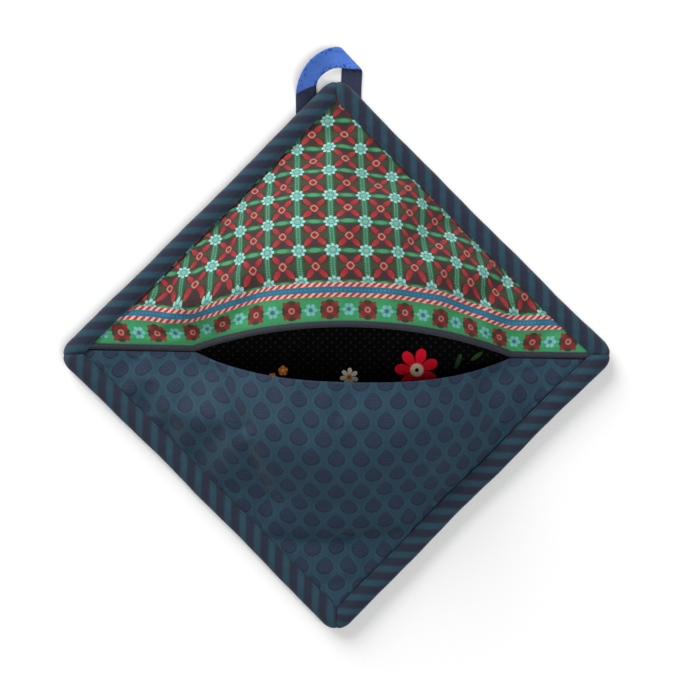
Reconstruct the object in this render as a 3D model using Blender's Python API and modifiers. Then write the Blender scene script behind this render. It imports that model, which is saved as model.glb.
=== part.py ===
"""Quilted pot holder with two hand pockets, lying on its back with the pockets up.

A square of quilted cloth stands on one corner.  Two lined half squares are sewn over it with
their long edges meeting across the middle, where they bow apart into a mouth for the hand.
A striped binding is folded over all the edges, and a flat tape makes a hanging loop.

Frame: +X right and +Y up as the pot holder is looked at from the front, +Z out of its front.
The origin is the middle of the square, on the face that rests.  Lengths are in millimetres
until a mesh is made.
"""

import math

import bmesh
import bpy
import numpy as np

MM = 0.001
ROOT2 = math.sqrt(2.0)

# The square, with its sides drawn in a little and its corners rounded
HALF_SIDE = 110.0
CORNER_RADIUS = 11.0
SIDE_HOLLOW = 1.0
EDGE_INSET = 3.4

# Quilted back panel
PANEL_THICK = 4.8
PANEL_GROOVE_THICK = 2.6
PANEL_EDGE_BOTTOM = 2.8
QUILT_PITCH = 39.2
QUILT_SHOULDER = 4.0
QUILT_PADS = 5

# Pockets
POCKET_BASE = 5.5
POCKET_THICK = 2.2
POCKET_EDGE_SHARE = 0.75
MOUTH_MIDDLE_X = 9.0
MOUTH_HALF_WIDTH = 86.6
MOUTH_LINE_Y = 0.7
MOUTH_LINE_SLOPE = -0.019
MOUTH_PINCH_DEPTH = 26.0
FLAT_MARGIN = 12.0
POCKET_COLUMNS = 32
POCKET_ROWS = 15

# Each pocket: side of the mouth, height of its crown, the run from its seams up to the crown,
# how far its mouth edge is drawn away from the mouth line, and how square that curve is
POCKETS = {
    "upper_pocket": dict(side=1, height=38.0, run=68.0, open=14.3, square=2.0, back_off=1.0),
    "lower_pocket": dict(side=-1, height=31.0, run=52.0, open=14.6, square=2.6, back_off=0.4),
}

# Share of the lower pocket's height that is left towards its corner: (y, share)
LOWER_POCKET_FOOT = (
    (-135.0, 0.30), (-120.0, 0.28), (-104.0, 0.20), (-91.0, 0.20), (-80.0, 0.36),
    (-65.0, 0.68), (-50.0, 0.92), (-35.0, 1.00),
)

# Soft folds pressed into the pockets: (pocket, from x, from y, to x, to y, half width, depth)
FOLDS = (
    ("lower_pocket", -76.0, -6.0, -55.0, -46.0, 10.0, 6.0),
    ("lower_pocket", 88.0, -10.0, 68.0, -58.0, 9.0, 5.0),
    ("lower_pocket", -27.0, -99.0, 6.0, -88.0, 7.0, 2.5),
    ("lower_pocket", 6.0, -88.0, 48.0, -90.0, 7.0, 2.5),
    ("upper_pocket", -66.0, 12.0, -42.0, 34.0, 7.0, 3.0),
    ("upper_pocket", 82.0, 10.0, 60.0, 36.0, 7.0, 3.0),
)

# Dark binding of the upper pocket's mouth
LIP_CLOTH = 0.7
LIP_LIFT = 0.7
LIP_EDGE_SHARE = 0.55
LIP_END_GAP = 1.2
LIP_SECTION = (          # (back from the mouth edge, above the pocket's middle)
    (3.30, 1.60), (1.60, 1.65), (0.45, 1.15), (0.0, 0.0), (0.45, -1.15), (2.60, -1.60),
)

# Striped binding: (inset from the outline, height), from the front hem round to the back hem
BINDING_CLOTH = 1.1
BINDING_SECTION = (
    (11.0, 8.90), (8.5, 9.25), (6.0, 9.40), (3.4, 9.10), (1.4, 8.10), (0.35, 6.60),
    (0.0, 5.00), (0.3, 3.40), (1.3, 2.10), (3.4, 1.40), (11.0, 1.30),
)
BINDING_STRIPS = (       # (name, quarter turn of its side, width)
    ("binding_upper_right", 0, 11.0),
    ("binding_upper_left", 1, 10.8),
    ("binding_lower_left", 2, 12.0),
    ("binding_lower_right", 3, 11.4),
)
MITRE_GAP = 0.3
ARC_STEPS = 5
STRAIGHT_STEPS = 5

# Hanging loop: a flat tape that rises from the corner's left, arches over and is folded under
LOOP_WIDTH = 11.5
LOOP_THICK = 0.9
LOOP_ROLL = 0.95
LOOP_START = (-12.67, 157.23)
LOOP_LEFT_LEG = 25.0
LOOP_FOLD = 21.7
LOOP_CREASE = math.radians(-46.6)
LOOP_RIGHT_LEG = 27.3
LOOP_HEADINGS = (        # (along the tape, heading in degrees)
    (-25.0, 91.0), (-13.0, 86.0), (-6.0, 71.0), (-1.0, 55.0), (4.0, 39.5), (10.0, 24.5),
    (15.5, 5.5), (20.0, -7.0), (25.0, -2.5), (49.0, -2.5),
)
LOOP_HEIGHTS = (         # (along the tape, height of its middle)
    (-25.0, 0.50), (-21.0, 0.50), (-18.0, 0.60), (-14.0, 1.20), (-9.0, 3.45), (-4.0, 4.05),
    (2.0, 3.80), (10.0, 4.40), (17.0, 3.00), (21.5, 2.43), (23.5, 2.42), (49.0, 2.42),
)
LOOP_TILTS = (           # (along the tape, degrees by which its outer edge is raised)
    (-25.0, 0.0), (-20.0, 0.0), (-14.0, 5.0), (-9.0, 27.0), (-4.0, 34.0), (2.0, 31.0),
    (10.0, 20.0), (17.0, 0.0), (21.0, 0.0), (24.0, 0.0), (49.0, 0.0),
)

# Colours of the cloths, as seen: red, green, blue out of 255, and roughness
CLOTHS = {
    "lining_cloth": ((28, 26, 34), 0.9),
    "flower_print": ((92, 150, 112), 0.85),
    "teal_print": ((50, 82, 102), 0.85),
    "lip_cloth": ((62, 56, 72), 0.85),
    "striped_cloth": ((50, 76, 94), 0.85),
    "blue_tape": ((82, 126, 214), 0.85),
}


def clear_scene():
    for thing in list(bpy.data.objects):
        bpy.data.objects.remove(thing, do_unlink=True)


def linear(value):
    share = value / 255.0
    return share / 12.92 if share <= 0.04045 else ((share + 0.055) / 1.055) ** 2.4


def cloth_material(name):
    colour, roughness = CLOTHS[name]
    material = bpy.data.materials.get(name)
    if material is None:
        material = bpy.data.materials.new(name)
        material.use_nodes = True
        shader = material.node_tree.nodes["Principled BSDF"]
        shader.inputs["Base Color"].default_value = (*[linear(c) for c in colour], 1.0)
        shader.inputs["Roughness"].default_value = roughness
        shader.inputs["Metallic"].default_value = 0.0
    return material


def cloth_piece(name, points, material, collection, thickness, offset, shares=None):
    """A grid primitive laid on points, rows by columns by (x, y, z) in mm, then thickened.

    offset says on which side of the points the thickness goes, from -1 to 1, and shares, an
    array of rows by columns, thins it at each point.
    """
    rows, columns = points.shape[:2]
    bm = bmesh.new()
    bmesh.ops.create_grid(bm, x_segments=columns - 1, y_segments=rows - 1, size=1.0)
    places = []
    for vertex in bm.verts:
        column = round((vertex.co.x + 1.0) / 2.0 * (columns - 1))
        row = round((vertex.co.y + 1.0) / 2.0 * (rows - 1))
        places.append((row, column))
        vertex.co = points[row, column] * MM
    mesh = bpy.data.meshes.new(name)
    bm.to_mesh(mesh)
    bm.free()
    mesh.shade_smooth()
    mesh.materials.append(cloth_material(material))
    piece = bpy.data.objects.new(name, mesh)
    collection.objects.link(piece)
    solidify = piece.modifiers.new("thickness", "SOLIDIFY")
    solidify.thickness = thickness * MM
    solidify.offset = offset
    if shares is not None:
        group = piece.vertex_groups.new(name="thickness_share")
        for index, (row, column) in enumerate(places):
            group.add([index], float(shares[row, column]), "REPLACE")
        solidify.vertex_group = group.name


def smooth_table(value, table):
    """Reads a two-column table at value, easing in and out between its rows."""
    places = np.array([row[0] for row in table])
    levels = np.array([row[1] for row in table])
    slopes = np.gradient(levels, places)
    value = np.clip(value, places[0], places[-1])
    left = np.clip(np.searchsorted(places, value, side="right") - 1, 0, len(places) - 2)
    span = places[left + 1] - places[left]
    t = (value - places[left]) / span
    rise = levels[left + 1] - levels[left]
    ease = t * t * (3.0 - 2.0 * t)
    bend = t * (1.0 - t) * ((1.0 - t) * slopes[left] - t * slopes[left + 1]) * span
    return levels[left] + ease * rise + bend


def to_square(x, y):
    """Plan position as (p, q): p towards the upper right side, q towards the upper left."""
    return (x + y) / ROOT2, (y - x) / ROOT2


def to_plan(p, q):
    """Position in the square as plan (x, y), with the sides drawn in towards the middle."""
    draw_p = 1.0 - SIDE_HOLLOW / HALF_SIDE * (1.0 - (q / HALF_SIDE) ** 2)
    draw_q = 1.0 - SIDE_HOLLOW / HALF_SIDE * (1.0 - (p / HALF_SIDE) ** 2)
    return (p * draw_p - q * draw_q) / ROOT2, (p * draw_p + q * draw_q) / ROOT2


def round_corners(p, q, inset):
    """Moves the points of a sharp square's corner zones onto quarter discs."""
    radius = CORNER_RADIUS - inset
    start = HALF_SIDE - CORNER_RADIUS
    a = np.clip((np.abs(p) - start) / radius, 0.0, 1.0)
    b = np.clip((np.abs(q) - start) / radius, 0.0, 1.0)
    corner = (a > 0.0) & (b > 0.0)
    round_p = np.sign(p) * (start + radius * a * np.sqrt(1.0 - b * b / 2.0))
    round_q = np.sign(q) * (start + radius * b * np.sqrt(1.0 - a * a / 2.0))
    return np.where(corner, round_p, p), np.where(corner, round_q, q)


# Back panel: pads with sewn channels between them, thin where the binding grips it

def quilt_lines():
    """Grid lines across the panel: each channel's middle and shoulders, and the edges."""
    channels = (np.arange(QUILT_PADS + 1) - QUILT_PADS / 2.0) * QUILT_PITCH
    inner = channels[1:-1]
    lines = [inner - QUILT_SHOULDER, inner, inner + QUILT_SHOULDER]
    edge = HALF_SIDE - EDGE_INSET
    rim = np.array([channels[-1] - QUILT_SHOULDER, channels[-1], (channels[-1] + edge) / 2.0, edge])
    return np.sort(np.concatenate(lines + [rim, -rim])), inner, channels[-1]


def make_back_panel(collection):
    lines, channels, seam = quilt_lines()
    p, q = np.meshgrid(lines, lines)
    pad_share = np.ones_like(p)
    for channel in channels:
        for across in (p, q):
            away = np.clip(np.abs(across - channel) / QUILT_SHOULDER, 0.0, 1.0)
            groove = PANEL_GROOVE_THICK / PANEL_THICK
            pad_share = np.minimum(pad_share, groove + (1.0 - groove) * away)
    outward = np.maximum(np.abs(p), np.abs(q))
    gripped = np.clip((outward - seam) / QUILT_SHOULDER + 1.0, 0.0, 1.0)
    edge_share = (PANEL_THICK - PANEL_EDGE_BOTTOM) / PANEL_THICK
    thickness = np.minimum(pad_share, 1.0 + (edge_share - 1.0) * gripped)
    edge_middle = (PANEL_THICK + PANEL_EDGE_BOTTOM) / 2.0
    height = PANEL_THICK / 2.0 + (edge_middle - PANEL_THICK / 2.0) * gripped
    round_p, round_q = round_corners(p, q, EDGE_INSET)
    x, y = to_plan(round_p, round_q)
    turned = np.stack([x, y, height], axis=-1)
    cloth_piece("back_panel", turned, "lining_cloth", collection, PANEL_THICK, 0.0, thickness)


# Pockets: domes that rise from the sewn edges, pinched down at the two ends of the mouth

def mouth_share(x, square):
    across = np.abs((x - MOUTH_MIDDLE_X) / MOUTH_HALF_WIDTH)
    return np.clip(1.0 - across ** square, 0.0, None)


def mouth_edge(x, pocket):
    """Height on the page of a pocket's own edge along the mouth."""
    line = MOUTH_LINE_Y + MOUTH_LINE_SLOPE * x
    away = pocket["back_off"] + pocket["open"] * mouth_share(x, pocket["square"])
    return line + pocket["side"] * away


def seam_rise(inset, run):
    """0 at the binding's hem, easing up to 1 a run away from it."""
    return np.sin(math.pi / 2.0 * np.clip((inset - FLAT_MARGIN - 0.5) / run, 0.0, 1.0))


def fold_depth(name, x, y):
    """Depth of the soft folds: each a straight trough with rounded shoulders and ends."""
    depth = np.zeros_like(x)
    for pocket, x1, y1, x2, y2, half_width, deep in FOLDS:
        if pocket != name:
            continue
        along_x, along_y = x2 - x1, y2 - y1
        share = ((x - x1) * along_x + (y - y1) * along_y) / (along_x ** 2 + along_y ** 2)
        share = np.clip(share, 0.0, 1.0)
        away = np.hypot(x - x1 - share * along_x, y - y1 - share * along_y)
        depth = depth + deep * np.exp(-(away / half_width) ** 2)
    return depth


def pocket_height(name, x, y):
    """How far a pocket's underside stands above its flat height, at plan position (x, y)."""
    pocket = POCKETS[name]
    side = pocket["side"]
    p, q = to_square(x, y)
    rise = seam_rise(HALF_SIDE - side * p, pocket["run"]) * seam_rise(HALF_SIDE - side * q, pocket["run"])
    from_mouth = side * (y - mouth_edge(x, pocket))
    pinch = np.exp(-(np.clip(from_mouth, 0.0, None) / MOUTH_PINCH_DEPTH) ** 2)
    crown = 1.0 - (1.0 - mouth_share(x, 2.2)) * pinch
    height = pocket["height"] * rise * crown
    if name == "lower_pocket":
        height = height * smooth_table(y, LOWER_POCKET_FOOT)
    height = np.clip(height - fold_depth(name, x, y) * rise * crown, 0.0, None)
    if name == "upper_pocket":
        height = height + LIP_LIFT * np.exp(-(from_mouth / 6.0) ** 2)
    return height


def pocket_plan(name):
    """Grid of plan positions: columns run from the sewn edges to the mouth."""
    pocket = POCKETS[name]
    side = pocket["side"]
    reach = (HALF_SIDE - EDGE_INSET) * ROOT2
    end = reach - 2.0
    left = -(end - max(0.0, side * mouth_edge(-end, pocket)))
    right = end - max(0.0, side * mouth_edge(end, pocket))
    half = POCKET_COLUMNS // 2
    x = np.concatenate([np.linspace(left, 0.0, half + 1), np.linspace(0.0, right, half + 1)[1:]])
    sewn = side * (reach - np.abs(x))
    mouth = mouth_edge(x, pocket)
    length = np.abs(sewn - mouth)
    first = np.minimum((FLAT_MARGIN - EDGE_INSET) * ROOT2 / length, 0.45)
    last = 1.0 - np.minimum(4.5 / length, 0.25)
    steps = np.linspace(0.0, 1.0, POCKET_ROWS - 1)[:, None]
    rows = np.vstack([np.zeros_like(x), first + (last - first) * steps, np.ones_like(x)])
    x = np.broadcast_to(x, rows.shape)
    return x, sewn + rows * (mouth - sewn)


def pocket_grid(name):
    """Points of a pocket's underside, row by row from its sewn edges to the mouth."""
    x, y = pocket_plan(name)
    p, q = to_square(x, y)
    plan_x, plan_y = to_plan(*round_corners(p, q, EDGE_INSET))
    points = np.stack([plan_x, plan_y, POCKET_BASE + pocket_height(name, x, y)], axis=-1)
    inset = HALF_SIDE - np.maximum(np.abs(p), np.abs(q))
    sewn = np.clip((inset - FLAT_MARGIN + 1.0) / 3.0, 0.0, 1.0)
    share = POCKET_EDGE_SHARE + (1.0 - POCKET_EDGE_SHARE) * sewn
    if name == "upper_pocket":
        share[-1] = LIP_EDGE_SHARE
        share[-2] = LIP_EDGE_SHARE + 0.1
    return points, share


def make_pocket(name, material, collection):
    points, share = pocket_grid(name)
    if POCKETS[name]["side"] > 0:
        points = points[::-1]
        share = share[::-1]
    cloth_piece(name, points, material, collection, POCKET_THICK, 1.0, share)


def unit(vectors):
    return vectors / np.linalg.norm(vectors, axis=-1)[..., None]


def make_pocket_lip(collection):
    """The dark strip folded over the upper pocket's mouth edge, swept along that edge.

    Its ends are cut along the striped binding's hem.
    """
    points, _ = pocket_grid("upper_pocket")
    back_row, edge_row = points[-2], points[-1]
    hem = (HALF_SIDE - BINDING_SECTION[0][0] - LIP_END_GAP) * ROOT2
    reach = np.abs(edge_row[:, 0]) + np.abs(edge_row[:, 1])
    inside = reach < hem - 4.0
    first = int(np.argmax(inside))
    last = len(inside) - 1 - int(np.argmax(inside[::-1]))

    def end_share(near, far):
        return (hem - reach[near]) / (reach[far] - reach[near])

    def with_ends(row):
        start = row[first] + (row[first - 1] - row[first]) * end_share(first, first - 1)
        end = row[last] + (row[last + 1] - row[last]) * end_share(last, last + 1)
        return np.vstack([start, row[first:last + 1], end])

    edge = with_ends(edge_row)
    inward = unit(with_ends(back_row) - edge)
    along = unit(np.gradient(edge, axis=0))
    up = unit(np.cross(along, inward))
    middle = edge + LIP_EDGE_SHARE * POCKET_THICK / 2.0 * up
    back_off = POCKETS["upper_pocket"]["back_off"]
    rows = []
    for back, above in LIP_SECTION:
        row = middle + (back - back_off) * inward + above * up
        row[0] += back * along[0]
        row[-1] -= back * along[-1]
        rows.append(row)
    section = np.stack(rows)[::-1]
    cloth_piece("upper_pocket_lip", section, "lip_cloth", collection, LIP_CLOTH, -1.0)


# Striped binding: four strips round the edge, meeting in mitred seams

def binding_path(inner_start, inner_end):
    """Stations along one side: (t, inset) of the outline, and t of the straight inner hem."""
    straight = HALF_SIDE - CORNER_RADIUS
    angles = np.linspace(math.pi / 4.0, 0.0, ARC_STEPS + 1)
    arc_t = straight + CORNER_RADIUS * np.sin(angles)
    arc_inset = CORNER_RADIUS * (1.0 - np.cos(angles))
    middle = np.linspace(-straight, straight, STRAIGHT_STEPS + 1)[1:-1]
    outer_t = np.concatenate([-arc_t, middle, arc_t[::-1]])
    outer_inset = np.concatenate([arc_inset, np.zeros_like(middle), arc_inset[::-1]])
    share = (outer_t + HALF_SIDE) / (2.0 * HALF_SIDE)
    share = (share - share[0]) / (share[-1] - share[0])
    inner_t = inner_start + (inner_end - inner_start) * share
    gap = MITRE_GAP * np.linspace(1.0, -1.0, len(outer_t))
    return outer_t + gap, outer_inset, inner_t + gap


def make_binding_strip(name, quarter, width, width_before, width_after, collection):
    start = -(HALF_SIDE - width_before)
    end = HALF_SIDE - width_after
    outer_t, outer_inset, inner_t = binding_path(start, end)
    full = BINDING_SECTION[0][0]
    rows = []
    for inset, height in BINDING_SECTION:
        share = inset / full
        t = outer_t + (inner_t - outer_t) * share
        depth = outer_inset + (width - outer_inset) * share
        out = HALF_SIDE - depth
        turn = quarter * math.pi / 2.0
        p = out * math.cos(turn) - t * math.sin(turn)
        q = out * math.sin(turn) + t * math.cos(turn)
        x, y = to_plan(p, q)
        rows.append(np.stack([x, y, np.full_like(x, height)], axis=-1))
    section = np.stack(rows)[::-1]
    cloth_piece(name, section, "striped_cloth", collection, BINDING_CLOTH, -1.0)


def make_binding(collection):
    for index, (name, quarter, width) in enumerate(BINDING_STRIPS):
        before = BINDING_STRIPS[index - 1][2]
        after = BINDING_STRIPS[(index + 1) % len(BINDING_STRIPS)][2]
        make_binding_strip(name, quarter, width, before, after, collection)


# Hanging loop: the tape is laid out, then rolled over at its crease

def roll_under(points, crease_point, crease_angle):
    """Rolls what lies beyond a crease line down and back under the rest of the tape."""
    normal = np.array([-math.sin(crease_angle), math.cos(crease_angle)])
    beyond = (points[..., :2] - np.array(crease_point)) @ normal
    turn = np.clip(beyond / LOOP_ROLL, 0.0, math.pi)
    past = np.clip(beyond - math.pi * LOOP_ROLL, 0.0, None)
    new_beyond = np.where(beyond > 0.0, LOOP_ROLL * np.sin(turn) - past, beyond)
    rolled = points.copy()
    rolled[..., :2] += (new_beyond - beyond)[..., None] * normal
    rolled[..., 2] -= LOOP_ROLL * (1.0 - np.cos(turn))
    return rolled


def loop_middle(stations):
    """Middle line of the tape before it is folded, seen from above, and its heading, at each station."""
    fine = np.linspace(-LOOP_LEFT_LEG, LOOP_FOLD + LOOP_RIGHT_LEG, 800)
    heading = np.radians(smooth_table(fine, LOOP_HEADINGS))
    rise = np.gradient(smooth_table(fine, LOOP_HEIGHTS), fine)
    step = np.gradient(fine) / np.sqrt(1.0 + rise ** 2)
    x = np.cumsum(np.cos(heading) * step)
    y = np.cumsum(np.sin(heading) * step)
    x += LOOP_START[0] - np.interp(0.0, fine, x)
    y += LOOP_START[1] - np.interp(0.0, fine, y)
    return [np.interp(stations, fine, values) for values in (x, y, heading)]


def make_hanging_loop(collection):
    near = 9.0
    stations = np.unique(np.concatenate([
        np.linspace(-LOOP_LEFT_LEG, LOOP_FOLD - near, 13),
        np.linspace(LOOP_FOLD - near, LOOP_FOLD + near, 12),
        np.linspace(LOOP_FOLD + near, LOOP_FOLD + LOOP_RIGHT_LEG, 4),
    ]))
    x, y, heading = loop_middle(stations)
    fold_x, fold_y, _ = loop_middle(LOOP_FOLD)
    across = np.linspace(-LOOP_WIDTH / 2.0, LOOP_WIDTH / 2.0, 7)[:, None]
    tilt = np.radians(smooth_table(stations, LOOP_TILTS))
    points = np.stack([
        x - across * np.cos(tilt) * np.sin(heading),
        y + across * np.cos(tilt) * np.cos(heading),
        smooth_table(stations, LOOP_HEIGHTS) + across * np.sin(tilt),
    ], axis=-1)
    points = roll_under(points, (fold_x, fold_y), LOOP_CREASE)
    cloth_piece("hanging_loop", points, "blue_tape", collection, LOOP_THICK, 0.0)


def main():
    clear_scene()
    collection = bpy.data.collections.new("quilted_pot_holder")
    bpy.context.scene.collection.children.link(collection)
    make_back_panel(collection)
    make_pocket("upper_pocket", "flower_print", collection)
    make_pocket("lower_pocket", "teal_print", collection)
    make_pocket_lip(collection)
    make_binding(collection)
    make_hanging_loop(collection)


main()
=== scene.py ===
import math

import bpy
import numpy as np
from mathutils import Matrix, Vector


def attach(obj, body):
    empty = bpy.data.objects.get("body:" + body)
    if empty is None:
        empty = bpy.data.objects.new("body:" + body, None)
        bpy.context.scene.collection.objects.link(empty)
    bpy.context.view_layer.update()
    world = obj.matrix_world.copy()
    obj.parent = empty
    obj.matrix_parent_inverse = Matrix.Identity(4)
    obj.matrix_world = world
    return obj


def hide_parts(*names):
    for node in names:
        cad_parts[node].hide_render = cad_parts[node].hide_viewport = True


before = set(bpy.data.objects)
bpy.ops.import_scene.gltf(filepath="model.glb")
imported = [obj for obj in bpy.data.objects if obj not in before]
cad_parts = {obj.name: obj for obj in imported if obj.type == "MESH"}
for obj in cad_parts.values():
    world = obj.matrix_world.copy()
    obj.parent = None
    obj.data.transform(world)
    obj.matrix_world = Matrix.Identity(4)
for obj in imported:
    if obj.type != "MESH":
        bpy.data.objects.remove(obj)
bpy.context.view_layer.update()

# ---- Back panel --------------------------------------------------------------------------------
# Square pad of two printed black cottons with wadding between them, which lies on the table.
# It is quilted through with crossing lines of running stitch, so it swells into square pads,
# and it thins towards its edge, where the binding grips it.
HALF_SIDE = 110.0
CORNER_RADIUS = 11.0
SIDE_HOLLOW = 1.0
EDGE_INSET = 3.4
PANEL_TOP = 4.8
PANEL_EDGE_BOTTOM = 2.8
QUILT_PITCH = 39.2
QUILT_GROOVE = 1.15
QUILT_ROUNDING = 3.4
PAD_WAVES = 0.22
PANEL_LINES = 109
ROOT2 = math.sqrt(2.0)
SETTLING_SCALE = 0.01
SETTLING_FRAMES = 20

# Lengths are in millimetres until a mesh is made.  A piece's UV map called Cloth says where each
# point lies on the flat cloth, in millimetres, and its prints and weave are worked out from that.
MM = 0.001
BAKE_MARGIN = 0.02


def to_plan(p, q):
    """Plan place from p towards the upper right side and q towards the upper left, an eighth of a
    turn away: the square's sides are drawn in by a parabola that is deepest half-way."""
    draw_p = 1.0 - SIDE_HOLLOW / HALF_SIDE * (1.0 - (q / HALF_SIDE) ** 2)
    draw_q = 1.0 - SIDE_HOLLOW / HALF_SIDE * (1.0 - (p / HALF_SIDE) ** 2)
    return (p * draw_p - q * draw_q) / ROOT2, (p * draw_p + q * draw_q) / ROOT2


def round_corners(p, q, inset):
    """Maps each corner's small square onto a quarter disc: a*sqrt(1-b*b/2) by b*sqrt(1-a*a/2)."""
    radius = CORNER_RADIUS - inset
    start = HALF_SIDE - CORNER_RADIUS
    a = np.clip((np.abs(p) - start) / radius, 0.0, 1.0)
    b = np.clip((np.abs(q) - start) / radius, 0.0, 1.0)
    corner = (a > 0.0) & (b > 0.0)
    round_p = np.sign(p) * (start + radius * a * np.sqrt(1.0 - b * b / 2.0))
    round_q = np.sign(q) * (start + radius * b * np.sqrt(1.0 - a * a / 2.0))
    return np.where(corner, round_p, p), np.where(corner, round_q, q)


def join(*parts):
    """One array whose last axis holds the parts by turns."""
    return np.stack(np.broadcast_arrays(*parts), axis=-1)


def bell(distance, width):
    """Bell curve: exp(-(distance / width)^2)."""
    return np.exp(-(distance / width) ** 2)


def ease(share):
    """Smooth step from 0 to 1: t * t * (3 - 2t)."""
    return share * share * (3.0 - 2.0 * share)


def new_object(name, data):
    """An object that holds the data, put in the scene."""
    holder = bpy.data.objects.new(name, data)
    bpy.context.scene.collection.objects.link(holder)
    return holder


def soft_waves(x, y, seed, shortest, longest, count=16):
    """Gentle unevenness, mostly between -1 and 1: a sum of sine waves whose directions, lengths
    and starts are drawn from a seed."""
    draw = np.random.RandomState(seed)
    total = np.zeros(np.broadcast(x, y).shape)
    for _ in range(count):
        turn, start = draw.uniform(0.0, 2.0 * math.pi, 2)
        length = draw.uniform(shortest, longest)
        along = x * math.cos(turn) + y * math.sin(turn)
        total = total + np.sin(2.0 * math.pi * along / length + start)
    return total / math.sqrt(count)


def new_mesh(name, points, corners, sizes, maps, materials, material_index=0):
    """Mesh from corner indices and the number of corners of each face, with its UV maps, as an
    object in the scene."""
    mesh = bpy.data.meshes.new(name)
    mesh.vertices.add(len(points))
    mesh.loops.add(len(corners))
    mesh.polygons.add(len(sizes))
    mesh.vertices.foreach_set("co", (points * MM).astype(np.float32).ravel())
    mesh.loops.foreach_set("vertex_index", corners.astype(np.int32))
    starts = np.concatenate([[0], np.cumsum(sizes)[:-1]]).astype(np.int32)
    mesh.polygons.foreach_set("loop_start", starts)
    mesh.polygons.foreach_set("material_index", (material_index + 0 * starts).astype(np.int32))
    for material in materials:
        mesh.materials.append(material)
    for layer, values in maps.items():
        uv = mesh.uv_layers.new(name=layer)
        uv.uv.foreach_set("vector", values[corners].astype(np.float32).ravel())
    mesh.update(calc_edges=True)
    mesh.validate()
    mesh.shade_smooth()
    return new_object(name, mesh)


def grid_quads(rows, columns):
    """Point numbers of a grid, and its quads."""
    index = np.arange(rows * columns).reshape(rows, columns)
    quads = join(index[:-1, :-1], index[:-1, 1:], index[1:, 1:], index[1:, :-1])
    return index, quads.reshape(-1, 4)


def cloth_mesh(name, front, back, flat, materials):
    """Closed thin piece of cloth: a front grid and a back grid of the same rows and columns, and
    a rim of quads that joins their borders.  flat gives each grid point's place on the flat cloth.
    """
    index, quads = grid_quads(*front.shape[:2])
    count = index.size
    border = np.concatenate([index[0, :-1], index[:-1, -1], index[-1, :0:-1], index[:0:-1, 0]])
    after = np.roll(border, -1)
    rim = join(after, border, border + count, after + count)
    faces = np.concatenate([quads, quads[:, ::-1] + count, rim])
    side = np.zeros(len(faces), np.int32)
    side[len(quads):2 * len(quads)] = len(materials) - 1
    places = flat.reshape(-1, 2)
    low, high = places.min(0), places.max(0)
    packed = BAKE_MARGIN + (1.0 - 2.0 * BAKE_MARGIN) * (places - low) / (high - low)
    packed = packed * (1.0, 0.49)
    maps = {"Cloth": np.concatenate([places, places]),
            "OFBake": np.concatenate([packed, packed + (0.0, 0.5)])}
    points = np.concatenate([front.reshape(-1, 3), back.reshape(-1, 3)])
    return new_mesh(name, points, faces.ravel(), np.full(len(faces), 4), maps, materials, side)


def settle(points, held, growth, cap):
    """How far each point of a cloth grid moves when Blender's cloth makes room for cloth that is
    larger than the grid by growth: it buckles between where it is held, by at most cap."""
    _, quads = grid_quads(*points.shape[:2])
    mesh = bpy.data.meshes.new("settling_cloth")
    mesh.from_pydata((points * SETTLING_SCALE).reshape(-1, 3), [], quads)
    cloth = new_object("settling_cloth", mesh)
    group = cloth.vertex_groups.new(name="held")
    share = held.round(1).ravel()
    for weight in np.unique(share[share > 0.0]):
        group.add(np.flatnonzero(share == weight).tolist(), float(weight), "REPLACE")
    settings = cloth.modifiers.new("cloth", "CLOTH").settings
    settings.quality = 6
    settings.mass = 0.3
    settings.tension_stiffness = settings.compression_stiffness = 15.0
    settings.shear_stiffness = 5.0
    settings.bending_stiffness = 1.6
    settings.air_damping = 3.0
    settings.vertex_group_mass = "held"
    settings.shrink_min = -growth
    settings.effector_weights.gravity = 0.0
    for number in range(1, SETTLING_FRAMES + 1):
        bpy.context.scene.frame_set(number)
    settled = cloth.evaluated_get(bpy.context.evaluated_depsgraph_get())
    places = np.empty(points.size, np.float32)
    settled.data.vertices.foreach_get("co", places)
    move = places.reshape(points.shape) / SETTLING_SCALE - points
    bpy.data.objects.remove(cloth)
    bpy.context.scene.frame_set(1)
    length = np.linalg.norm(move, axis=-1)[..., None]
    return move * np.tanh(length / cap) * cap / np.maximum(length, 1e-6)


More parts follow.
